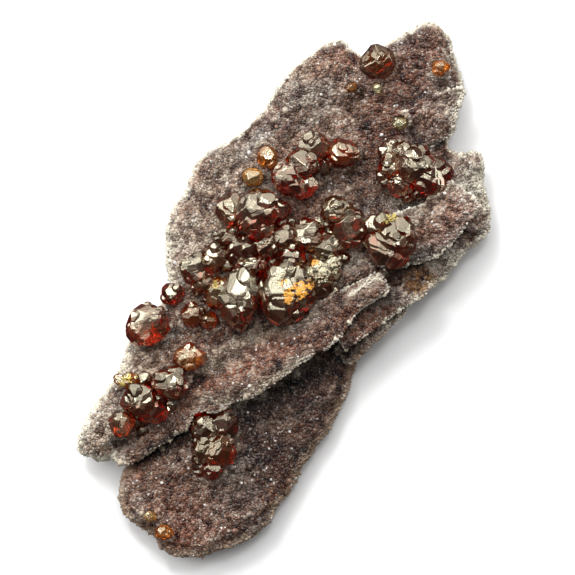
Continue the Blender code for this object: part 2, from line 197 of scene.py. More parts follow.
places = coordinates(rock.data)
normals = vertex_normals(rock.data)
clear = smoothstep(*CRYSTAL_CLEAR, crystal_distance(places))
facing_up = smoothstep(BACK_FACING - BACK_BLEND, BACK_FACING + BACK_BLEND, normals[:, 2])
knobs = noise_field(places, *KNOB_NOISE[0]) + 0.5 * noise_field(places, *KNOB_NOISE[1])
streaks = noise_field(along_strike(places), *STREAK_NOISE)
lump = -HOLLOW * (0.5 - knobs - 0.5 * streaks).clip(0.0, 1.2)
chips = np.abs(noise_field(places, *CHIP_NOISE[0])) + 0.5 * np.abs(noise_field(places, *CHIP_NOISE[1]))
sink = clear * (facing_up * (CRUST_DEPTH - lump) + (1.0 - facing_up) * CHIP_DEPTH * MM * chips)
resting = places[:, 2] < RESTING
sink[resting] *= smoothstep(*RESTING_CHIPS, chips[resting]) * RESTING_SHARE
sink = np.minimum(sink, THIN_SHARE * thickness(rock, places, normals))
places = places - normals * sink[:, None]
places[:, 2] = np.maximum(places[:, 2], 0.0)
rock.data.vertices.foreach_set("co", places.ravel())
rock.data.update()
standing_out = convexity(rock.data, SMOOTHING_ROUNDS)


def new_material(name):
    material = bpy.data.materials.new(name)
    material.use_nodes = True
    nodes = material.node_tree.nodes
    return material, nodes, material.node_tree.links, nodes["Principled BSDF"]


def add_node(nodes, kind, **values):
    node = nodes.new(kind)
    for key, value in values.items():
        setattr(node, key, value)
    return node


def noise_node(nodes, links, source, scale, detail=4.0, roughness=0.6):
    texture = add_node(nodes, "ShaderNodeTexNoise")
    texture.inputs["Scale"].default_value = scale
    texture.inputs["Detail"].default_value = detail
    texture.inputs["Roughness"].default_value = roughness
    links.new(source, texture.inputs["Vector"])
    return texture


def colour_ramp(nodes, links, source, stops):
    ramp = add_node(nodes, "ShaderNodeValToRGB")
    elements = ramp.color_ramp.elements
    while len(elements) < len(stops):
        elements.new(0.5)
    for element, (position, colour) in zip(elements, stops):
        element.position = position
        element.color = (*colour, 1.0)
    links.new(source, ramp.inputs["Fac"])
    return ramp.outputs["Color"]


def add_bump(nodes, links, shader, height, distance):
    bump = add_node(nodes, "ShaderNodeBump")
    bump.inputs["Strength"].default_value = 1.0
    bump.inputs["Distance"].default_value = distance
    links.new(height, bump.inputs["Height"])
    links.new(bump.outputs["Normal"], shader.inputs["Normal"])


rock_material, nodes, links, shader = new_material("quartz_rock")
where = add_node(nodes, "ShaderNodeTexCoord").outputs["Object"]
stain = noise_node(nodes, links, where, ROCK_STAIN)
rock_colour = colour_ramp(nodes, links, stain.outputs["Fac"], [
    (0.30, (0.10, 0.060, 0.046)), (0.50, (0.17, 0.115, 0.092)),
    (0.62, (0.23, 0.175, 0.145)), (0.75, (0.32, 0.27, 0.22))])
links.new(rock_colour, shader.inputs["Base Color"])
shader.inputs["Roughness"].default_value = 0.55
shader.inputs["IOR"].default_value = QUARTZ_IOR
grain = noise_node(nodes, links, where, ROCK_GRAIN, 3.0, 0.7)
add_bump(nodes, links, shader, grain.outputs["Fac"], ROCK_BUMP)
rock.data.materials.append(rock_material)
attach(rock, "root")
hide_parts("quartz_matrix")


# ================================================================ the crust of quartz points
# A druse: tens of thousands of quartz points, each a six-sided prism under a pyramid,
# grown side by side on the rock. They are clear to mauve-brown, and cream at the thin
# rims: pale broken edges, brightened as a painted glow of light coming through them.

POINT_SEED = 7
FINE = (0.38 * MM, (0.20 * MM, 0.34 * MM), 1.0)      # spacing, half widths, share kept
COARSE = (0.90 * MM, (0.28 * MM, 0.46 * MM), 0.50)
LARGE = (2.20 * MM, (0.42 * MM, 0.66 * MM), 0.20)
SPARKS = (0.60 * MM, (0.10 * MM, 0.19 * MM), 0.26)    # small clear points, painted near white as glints
CRUST_GAP = 0.34 * MM         # no point grows closer than this to a sphalerite crystal
POINTS_TRIED = 60000          # places tried, over the square of the spacing in millimetres
FLOOR_GAP = 0.8 * MM          # lower than this, points grow only on faces
LOW_FACING = 0.3              # that look up more than this
BANDS = 6                     # the crust is this many pieces, along the plate
GRID_STRIDE = 4001            # more than the cells of any spacing across the rock
PRISM = (-1.2, 0.15, 1.15)    # heights of a point's foot, shoulder and tip, in half widths
PYRAMID = (-1.0, 0.85)        # and of the foot and tip of one with no prism
CORNER_WANDER = (0.78, 1.22)  # how much a corner's distance from the axis varies
TIP_WANDER = 0.22
TIP_HEIGHT = (0.75, 1.35)

rng = np.random.default_rng(POINT_SEED)


def surface_points(mesh, count):
    """Random places spread evenly over the rock: place, smooth normal and convexity."""
    mesh.calc_loop_triangles()
    triangles = np.zeros(len(mesh.loop_triangles) * 3, int)
    mesh.loop_triangles.foreach_get("vertices", triangles)
    triangles = triangles.reshape(-1, 3)
    corners = coordinates(mesh)[triangles]
    corner_normals = vertex_normals(mesh)[triangles]
    areas = np.linalg.norm(np.cross(corners[:, 1] - corners[:, 0], corners[:, 2] - corners[:, 0]), axis=1)
    chosen = rng.choice(len(triangles), size=count, p=areas / areas.sum())
    u, v = rng.random(count), rng.random(count)
    flip = u + v > 1.0
    u[flip], v[flip] = 1.0 - u[flip], 1.0 - v[flip]
    weights = np.stack([1.0 - u - v, u, v], axis=1)[:, :, None]
    spots = (corners[chosen] * weights).sum(axis=1)
    directions = (corner_normals[chosen] * weights).sum(axis=1)
    stands = (standing_out[triangles][chosen] * weights[:, :, 0]).sum(axis=1)
    return spots, directions / np.linalg.norm(directions, axis=1)[:, None], stands


def one_per_cell(spots, spacing):
    """Which places to keep, so that no cell of a grid has two."""
    cells = np.floor(spots / spacing).astype(np.int64)
    keys = (cells[:, 0] * GRID_STRIDE + cells[:, 1]) * GRID_STRIDE + cells[:, 2]
    return np.unique(keys, return_index=True)[1]


def point_shape(prism):
    """Corners and triangles of one quartz point; its half width is 1 and it points up."""
    turn = np.arange(6) * math.tau / 6
    ring = np.stack([np.cos(turn), np.sin(turn)], axis=1)
    if prism:
        foot, shoulder, tip = PRISM
        rings = [np.column_stack([ring, np.full(6, height)]) for height in (foot, shoulder)]
        corners = np.vstack([*rings, [(0, 0, tip)]])
        faces = [(i, (i + 1) % 6, 6 + (i + 1) % 6) for i in range(6)]
        faces += [(i, 6 + (i + 1) % 6, 6 + i) for i in range(6)]
        faces += [(6 + i, 6 + (i + 1) % 6, 12) for i in range(6)]
        faces += [(0, i + 1, i) for i in range(1, 5)]
    else:
        foot, tip = PYRAMID
        corners = np.vstack([np.column_stack([ring, np.zeros(6)]), [(0, 0, tip), (0, 0, foot)]])
        faces = [(i, (i + 1) % 6, 6) for i in range(6)]
        faces += [((i + 1) % 6, i, 7) for i in range(6)]
    return corners, np.array(faces)


def grow_points(spots, directions, widths, prism, tilt):
    """The corners of many quartz points, and the triangles between them."""
    corners, faces = point_shape(prism)
    count = len(spots)
    up = directions + rng.normal(0.0, tilt, (count, 3))
    up /= np.linalg.norm(up, axis=1)[:, None]
    side = np.cross(up, rng.normal(size=(count, 3)))
    side /= np.linalg.norm(side, axis=1)[:, None]
    other = np.cross(up, side)
    shape = np.repeat(corners[None], count, axis=0)
    shape[:, :, :2] *= rng.uniform(*CORNER_WANDER, (count, len(corners), 1))
    apex = 12 if prism else 6
    shape[:, apex, :2] += rng.normal(0.0, TIP_WANDER, (count, 2))
    shape[:, apex, 2] *= rng.uniform(*TIP_HEIGHT, count)
    shape *= widths[:, None, None]
    solid = (spots[:, None] + shape[:, :, :1] * side[:, None] + shape[:, :, 1:2] * other[:, None]
             + shape[:, :, 2:] * up[:, None])
    return solid, faces


def mesh_of(name, groups):
    """One mesh of many small solids; each group is (corners, faces, tones)."""
    vertices, triangles, tones = [], [], []
    start = 0
    for solid, faces, tone in groups:
        count, size = solid.shape[:2]
        vertices.append(solid.reshape(-1, 3))
        offset = start + np.arange(count)[:, None, None] * size
        triangles.append((faces[None] + offset).reshape(-1, 3))
        tones.append(np.repeat(tone, size, axis=0))
        start += count * size
    vertices = np.vstack(vertices)
    triangles = np.vstack(triangles)
    tones = np.vstack(tones)
    mesh = bpy.data.meshes.new(name)
    mesh.vertices.add(len(vertices))
    mesh.vertices.foreach_set("co", vertices.ravel())
    mesh.loops.add(triangles.size)
    mesh.loops.foreach_set("vertex_index", triangles.ravel())
    mesh.polygons.add(len(triangles))
    mesh.polygons.foreach_set("loop_start", np.arange(len(triangles)) * 3)
    mesh.update(calc_edges=True)
    attribute = mesh.color_attributes.new("tone", "FLOAT_COLOR", "POINT")
    attribute.data.foreach_set("color", np.column_stack([tones, np.ones(len(tones))]).ravel())
    piece = bpy.data.objects.new(name, mesh)
    bpy.context.scene.collection.objects.link(piece)
    return piece


# Tones of the crust.
MAUVE = np.array((0.235, 0.132, 0.088))
GREY = np.array((0.290, 0.255, 0.210))
SLATE = np.array((0.270, 0.255, 0.235))
RUST = np.array((0.250, 0.092, 0.050))
DARK = np.array((0.090, 0.044, 0.028))
# Painted shadow, laid in the creases under the ridge and under the ledge's step.
PAINTED_SHADOW = np.array((0.020, 0.010, 0.006))
MAROON = np.array((0.028, 0.008, 0.004))
PALE = np.array((0.560, 0.480, 0.360))
CREAM = np.array((0.950, 0.900, 0.740))
PINK = np.array((0.560, 0.360, 0.290))
BLUSH = np.array((0.545, 0.460, 0.375))
OCHRE = np.array((0.800, 0.360, 0.040))

SPARK_RAISE = 0.12 * MM
# Painted glints: the near-white tone of the sparks and of a few other points.
PAINTED_GLINT = np.array((0.95, 0.90, 0.84))
PAINTED_GLINT_SHARE = 0.008         # of the other points get the same painted glint as the sparks
PAINTED_GLINT_VARIES = (0.6, 1.0)
SPARK_VARIES = (0.30, 1.0)
SPARK_GROUND = (0.1, 2.5)     # a spark's painted glint brightness on black crust, and how it grows with the crust's
GRAIN_SPREAD = 0.34           # how much neighbouring points differ in brightness
CRUST_BRIGHTNESS = 0.88
CLUMP_NOISE = (0.9 * MM, 91.0)            # clumps of light and dark points: width and seed
WIDE_CLUMP_NOISE = (2.2 * MM, 17.0)
WIDE_CLUMP_SHARE = 0.8
CLUMP_CONTRAST = 1.2
GAP_DEPTH = 1.9               # how many times darker the gaps are than the clumps are light
LIGHT_GAIN = 0.35             # how much of their extra brightness the light points keep
WARM_GAPS = (0.86, 1.04, 1.10)            # powers of brightness that make the dark points warmer
GROUND = 0.16                 # crust darker than this keeps its points dark too
BLUSH_FROM = (1.0, 2.8)       # points turn to blush between these brightnesses
BLUSH_SHARE = 0.80
EDGE_STANDS = (0.28 * MM, 0.56 * MM)      # pale crust grows on edges that stand out so far
EDGE_SHARE = 0.85
EDGE_VARIES = (0.3, 1.0)
HOLLOW_SHADE_STANDS = (-0.10 * MM, -0.75 * MM)  # painted shade: the crust is darkened where it lies so deep
HOLLOW_SHADE_SHARE = 0.72
STEEP = (0.70, 0.15)          # the crust is cream where it looks up less than this: pale broken sides, partly a painted glow
RIM_WIDTH = 1.7               # of the cream fringe, pale edges with a painted glow, in millimetres
RIM_VARIES = (0.55, 1.0)
THIN_RIM_SHARE = 0.55         # of that width round the two upper lobes
UPPER_LOBES = (14.0 * MM, 26.0 * MM)      # along Y, where the fringe thins
SAND = np.array((0.540, 0.400, 0.275))    # of the rims of the lowest plate
LOW_RIMS = (-14.0 * MM, -19.0 * MM)       # cream turns to sand where Y less half X is so low
LOW_RIM_LOSS = 0.25           # and the sand is this much fainter
RAGGED_SEAMS = (1.6 * MM, 37.0)           # width and seed of the noise that frays them
RAGGED_RIMS = (1.5 * MM, 61.0)
SEAM_FRAY = 0.8
RIM_FRAY = 0.6
CELL = 0.5 * MM               # of the grid that finds the outline
# Blotches: tone, width in millimetres, seed, and where the noise starts to show it.
BLOTCHES = [(SLATE, 3.0, 77.0, -0.05), (RUST, 3.4, 51.0, -0.02), (DARK, 2.0, 13.0, 0.10)]
BLOTCH_SHARE = 0.75
BLOTCH_FADE = 0.35
BLOTCH_GRAIN = 0.10

# Broad patches of the crust: place in millimetres, reach, tone, and how strongly it shows. The black ones
# along the crease under the ridge are painted shadow.
PATCHES = [
    (-12.0, 17.0, 8.0, PALE, 0.50), (-14.0, 6.0, 6.0, PALE, 0.40), (4.0, 36.0, 8.0, PALE, 0.30),
    (13.0, 20.0, 7.0, DARK, 0.30), (20.0, 36.0, 8.0, RUST, 0.75), (21.0, 36.0, 8.0, DARK, 0.15),
    (25.5, 17.0, 4.0, PALE, 0.60), (30.5, 15.0, 3.0, RUST, 0.60), (22.0, 14.5, 3.0, GREY, 0.60),
    (34.5, 17.0, 3.0, CREAM, 0.60), (32.0, 12.0, 4.5, PINK, 0.30), (-1.0, -12.0, 7.0, RUST, 0.65),
    (-1.0, -12.0, 8.0, DARK, 0.40), (-14.0, -18.0, 7.0, RUST, 0.50), (-9.0, -14.5, 3.0, PALE, 0.50),
    (3.0, -7.0, 3.5, GREY, 0.60), (-27.0, -27.0, 6.0, RUST, 0.35),
    (-2.5, -31.0, 8.0, MAROON, 1.0), (3.0, -38.0, 6.0, RUST, 0.40), (-8.0, -22.0, 4.0, PAINTED_SHADOW, 0.75),
    (0.0, -18.5, 4.0, PAINTED_SHADOW, 0.75), (7.0, -15.0, 4.0, PAINTED_SHADOW, 0.70), (8.0, -24.0, 7.0, DARK, 0.85),
    (6.0, -8.5, 3.0, RUST, 0.60), (-17.0, -42.0, 8.0, RUST, 0.85), (-10.0, -37.0, 9.0, DARK, 0.40),
    (-15.0, -36.0, 5.0, MAUVE, 0.60), (-10.0, -33.0, 3.5, GREY, 0.60),
    (-33.5, -25.0, 5.5, PALE, 0.60), (-26.0, -14.0, 5.0, PALE, 0.40), (-19.0, 8.0, 4.0, CREAM, 0.35),
    (12.6, 5.4, 2.2, CREAM, 0.75), (24.9, 0.9, 2.3, OCHRE, 1.0), (28.6, 5.0, 2.6, CREAM, 0.60),
    (27.8, 9.2, 1.7, PINK, 0.80), (33.5, 22.0, 3.5, CREAM, 0.40), (31.0, 33.0, 3.0, CREAM, 0.40),
    (-12.0, -47.0, 4.0, PINK, 0.40), (14.5, -1.0, 3.5, DARK, 0.40), (-16.0, -2.0, 3.0, DARK, 0.50)]

# Seams run along the blades: bands of crust tone, and black ones that are painted shadow in the creases
# under the ridge and the ledge's step. Both ends in millimetres, reach, tone and strength.
SEAMS = [
    (-8.5, -22.3, 4.8, -15.6, 2.3, PAINTED_SHADOW, 1.0), (4.8, -15.6, 11.5, -11.0, 1.9, PAINTED_SHADOW, 1.0),
    (-24.7, -29.9, -17.0, -25.6, 1.5, PAINTED_SHADOW, 0.95), (20.2, 33.7, 25.5, 35.0, 0.9, PAINTED_SHADOW, 0.60),
    (20.3, 4.6, 24.5, 0.6, 1.6, DARK, 0.80), (-14.5, -14.4, -5.3, -8.1, 1.5, PALE, 0.75),
    (-5.3, -8.1, 5.3, -4.0, 1.3, PALE, 0.65), (12.2, -0.8, 17.7, 2.7, 0.7, CREAM, 0.60),
    (-15.6, -19.8, -8.2, -20.0, 1.2, PALE, 0.70), (-8.2, -20.0, 4.8, -12.2, 1.1, PALE, 0.70),
    (-19.2, -18.6, -8.2, -15.0, 1.5, RUST, 0.80), (-8.2, -15.0, 4.0, -9.0, 1.4, RUST, 0.85),
    (4.0, -9.0, 10.0, -6.0, 2.0, DARK, 0.45), (13.0, -4.0, 18.0, 0.8, 1.2, MAUVE, 0.70)]


def plan_outline():
    """A search tree of the rock's edge seen from above."""
    cells = {(math.floor(x / CELL), math.floor(y / CELL)) for x, y, _ in coordinates(rock.data)}
    beside = ((1, 0), (-1, 0), (0, 1), (0, -1))
    edge = [c for c in cells if any((c[0] + i, c[1] + j) not in cells for i, j in beside)]
    tree = KDTree(len(edge))
    for index, cell in enumerate(sorted(edge)):
        tree.insert(((cell[0] + 0.5) * CELL, (cell[1] + 0.5) * CELL, 0.0), index)
    tree.balance()
    return tree


outline = plan_outline()


def crust_tones(spots, directions, stands):
    """The colour of each quartz point: soft blotches of a few tones, painted shadow in creases and
    hollows, cream at the rims with a painted glow, and a few painted glints.
    """
    count = len(spots)
    tone = np.repeat(MAUVE[None], count, axis=0)
    for blotch, width, seed, low in BLOTCHES:
        field = noise_field(along_strike(spots), width * MM, seed) + rng.normal(0.0, BLOTCH_GRAIN, count)
        tone += (blotch - tone) * (BLOTCH_SHARE * smoothstep(low, low + BLOTCH_FADE, field))[:, None]
    for x, y, reach, patch, strength in PATCHES:
        away = np.hypot(spots[:, 0] - x * MM, spots[:, 1] - y * MM) / (reach * MM)
        tone += (patch - tone) * (strength * np.exp(-away ** 2))[:, None]
    ragged = 1.0 + SEAM_FRAY * noise_field(spots, *RAGGED_SEAMS)
    for x1, y1, x2, y2, reach, seam, strength in SEAMS:
        start, run = np.array((x1, y1)) * MM, np.array((x2 - x1, y2 - y1)) * MM
        along = (((spots[:, :2] - start) @ run) / (run @ run)).clip(0.0, 1.0)
        away = np.linalg.norm(spots[:, :2] - start - along[:, None] * run, axis=1) / (reach * MM)
        tone += (seam - tone) * (strength * np.exp(-(away * ragged) ** 2))[:, None]
    clumps = noise_field(spots, *CLUMP_NOISE) + WIDE_CLUMP_SHARE * noise_field(spots, *WIDE_CLUMP_NOISE)
    clumps = np.where(clumps < 0.0, GAP_DEPTH * clumps, clumps)
    ground = (tone.mean(axis=1) / GROUND).clip(0.0, 1.0)
    light = CRUST_BRIGHTNESS * np.exp(CLUMP_CONTRAST * clumps + rng.normal(0.0, GRAIN_SPREAD, count))
    tone *= np.minimum(light, 1.0 + LIGHT_GAIN * (light - 1.0))[:, None] ** WARM_GAPS
    tone += (BLUSH - tone) * (BLUSH_SHARE * ground ** 2 * smoothstep(*BLUSH_FROM, light))[:, None]
    edge = smoothstep(*EDGE_STANDS, stands) * rng.uniform(*EDGE_VARIES, count)
    tone += (PALE - tone) * (EDGE_SHARE * edge)[:, None]
    # Painted shade: the crust is darkened in the hollows.
    tone *= (1.0 - HOLLOW_SHADE_SHARE * smoothstep(*HOLLOW_SHADE_STANDS, stands))[:, None]
    # Cream fringe at the rims and on steep sides: partly the pale broken edge, partly a painted glow of
    # light through the thin rims.
    inside = np.array([outline.find((x, y, 0.0))[2] for x, y, _ in spots]) / MM
    rim_width = RIM_WIDTH * (1.0 - (1.0 - THIN_RIM_SHARE) * smoothstep(*UPPER_LOBES, spots[:, 1]))
    fringe = smoothstep(1.0, 0.0, inside / rim_width + RIM_FRAY * noise_field(spots, *RAGGED_RIMS))
    rim = np.maximum(smoothstep(*STEEP, directions[:, 2]), fringe) * rng.uniform(*RIM_VARIES, count)
    low = smoothstep(*LOW_RIMS, spots[:, 1] - 0.5 * spots[:, 0])[:, None]
    tone += (CREAM + (SAND - CREAM) * low - tone) * (rim[:, None] * (1.0 - LOW_RIM_LOSS * low))
    # A few points painted near white as glints.
    bright = rng.random(count) < PAINTED_GLINT_SHARE
    tone[bright] = PAINTED_GLINT * rng.uniform(*PAINTED_GLINT_VARIES, (bright.sum(), 1))
    return np.clip(tone, 0.01, 0.95)


# Each layer, whether its points have a prism, and how far they lean at random.
LAYERS = ((FINE, False, 0.36), (COARSE, True, 0.32), (LARGE, True, 0.28), (SPARKS, True, 0.45))
grown_layers = []
for layer, prism, tilt in LAYERS:
    spacing, widths, share = layer
    spots, directions, stands = surface_points(rock.data, int(POINTS_TRIED / (spacing / MM) ** 2))
    kept = one_per_cell(spots, spacing)
    kept = kept[rng.random(len(kept)) < share]
    kept = kept[directions[kept, 2] > BACK_FACING]
    kept = kept[(spots[kept, 2] > FLOOR_GAP) | (directions[kept, 2] > LOW_FACING)]
    kept = kept[crystal_distance(spots[kept]) > CRUST_GAP]
    half = rng.uniform(*widths, len(kept))
    if layer is SPARKS:
        spots[kept] += directions[kept] * SPARK_RAISE
        # The sparks are painted near white as glints, dimmer on dark crust.
        under = crust_tones(spots[kept], directions[kept], stands[kept]).mean(axis=1, keepdims=True)
        dim, gain = SPARK_GROUND
        tone = PAINTED_GLINT * rng.uniform(*SPARK_VARIES, (len(kept), 1)) * (dim + gain * under).clip(0.0, 1.0)
    else:
        tone = crust_tones(spots[kept], directions[kept], stands[kept])
    solid, faces = grow_points(spots[kept], directions[kept], half, prism, tilt)
    grown_layers.append((spots[kept], solid, faces, tone))

druse_material, nodes, links, shader = new_material("quartz_points")
tone = add_node(nodes, "ShaderNodeAttribute", attribute_name="tone")
links.new(tone.outputs["Color"], shader.inputs["Base Color"])
shader.inputs["Roughness"].default_value = 0.16
shader.inputs["IOR"].default_value = QUARTZ_IOR
shader.inputs["Transmission Weight"].default_value = 0.30
shader.inputs["Specular IOR Level"].default_value = 0.18

low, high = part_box("quartz_matrix")
edges = np.linspace(low.y, high.y, BANDS + 1)
for band in range(BANDS):
    groups = []
    for spots, solid, faces, tone in grown_layers:
        own = (spots[:, 1] >= edges[band]) & (spots[:, 1] < edges[band + 1])
        groups.append((solid[own], faces, tone[own]))
    druse = mesh_of(f"quartz_druse_{band + 1}", groups)
    druse.data.materials.append(druse_material)
    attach(druse, "root")


# ================================================================ the sphalerite crystals
# Blocky crystals of zinc sulphide, ruby to brown to honey, see-through at their edges and
# as bright as cut glass on their faces. Each is one block with smaller ones grown on it
# in step or as twins, and crystals that touch have grown together into one.

GROWTH_SEED = 19
SPHALERITE_IOR = 2.37
WARM_GLOSS = (1.00, 0.94, 0.70, 1.0)
TOP_RAISE = 0.25 * MM         # a crystal stands this far over its solid
TOP_SHARE = 0.86              # a block's top is this far above its middle, as a share
# How far out each kind of face is, in radii.
FACE_SHARES = {"tetrahedron": (0.80, 0.98), "cube": (0.86, 1.08), "edge": (0.84, 1.02)}
FACE_TILT = 0.08              # how far a face is out of true, at random
FACE_STEPS = (0.0, 0.015)     # each face is cut again, a little askew, this much further out
STEP_TILT = 0.16              # and how far its second cut is
SMALL_BLOCKS = 0.95           # on each square millimetre of its half width, over the first two
SMALL_SIZE = (0.25, 0.62)     # of a small block, as a share of its crystal
SMALL_OUT = (0.42, 0.84)      # how far from the middle it sits, as a share of the radius
FILLER_TRIES = 260
FILLER_SIZE = (0.8 * MM, 1.5 * MM)
SMALL_REACH = 1.12            # a small block's tip is no further out than about this
SMALL_RISE = 0.05 * MM        # and no higher over the crystal's top than this
TWINNED = 0.3                 # share of the small blocks that are turned as twins
TOP_TILT = (0.05, 0.50)       # a crystal's flattest face looks this far off upright, in radians
EDGE_BEVEL = 0.11 * MM
SHORT_EDGE = 0.03             # shorter edges than this share of the radius are closed up
NEGATIVE_STEP = 0.15          # the smaller set of tetrahedron faces is this much further out
BLANK = 2.6                   # width of the cube that a block is cut from, in radii
BEVEL_ANGLE = math.radians(15)
SMALL_TURN = 0.05             # a small block is this far out of line about Z, in radians
SMALL_LEAN = 0.12             # and about X
FILLER_SPACING = 0.9 * MM
FILLER_GAP = (0.92, 1.75)     # a filler is outside every crystal and near to three, in radii
FILLER_HEIGHT = (0.1, 0.7)    # of its middle over the rock, in millimetres
FILLER_SHAPE = ((0.8, 1.2), (0.8, 1.1))   # its size along Y and Z, in widths along X
FILLER_LEAN = ((-0.4, 0.4), (-0.2, 0.5))  # of its top, towards +X and +Y
COLOUR_ZONES = 420.0          # noise features to a metre
FROSTING = 900.0
FROST_ROUGHNESS = (0.04, 0.19)
STRIAE = (300.0, 2600.0, 2600.0)
PITS = 2600.0
FACE_RELIEF = 0.035 * MM

RUBY = (0.40, 0.027, 0.002)
EMBER = (0.92, 0.270, 0.010)
ORANGE = (0.97, 0.420, 0.040)
HONEY = (0.88, 0.600, 0.240)
BROWN = (0.55, 0.180, 0.035)
UMBER = (0.42, 0.130, 0.035)
OLIVE = (0.46, 0.280, 0.080)
TAN = (0.74, 0.390, 0.150)
GOLD = (0.80, 0.480, 0.120)
PALE_GREEN = (0.66, 0.600, 0.360)
# Low on each crystal, near the rock, the first of each pair turns to the second: deeper colour where the
# crystal is thick, and painted shade on its lower flanks.
DEEP_AND_SHADED = {UMBER: RUBY, BROWN: RUBY, OLIVE: UMBER, TAN: RUBY, RUBY: RUBY, EMBER: RUBY, ORANGE: EMBER,
        HONEY: ORANGE, GOLD: EMBER, PALE_GREEN: OLIVE}
DEEP_AND_SHADED_FROM = (0.72, 0.22)     # heights over the middle, as shares of the half height

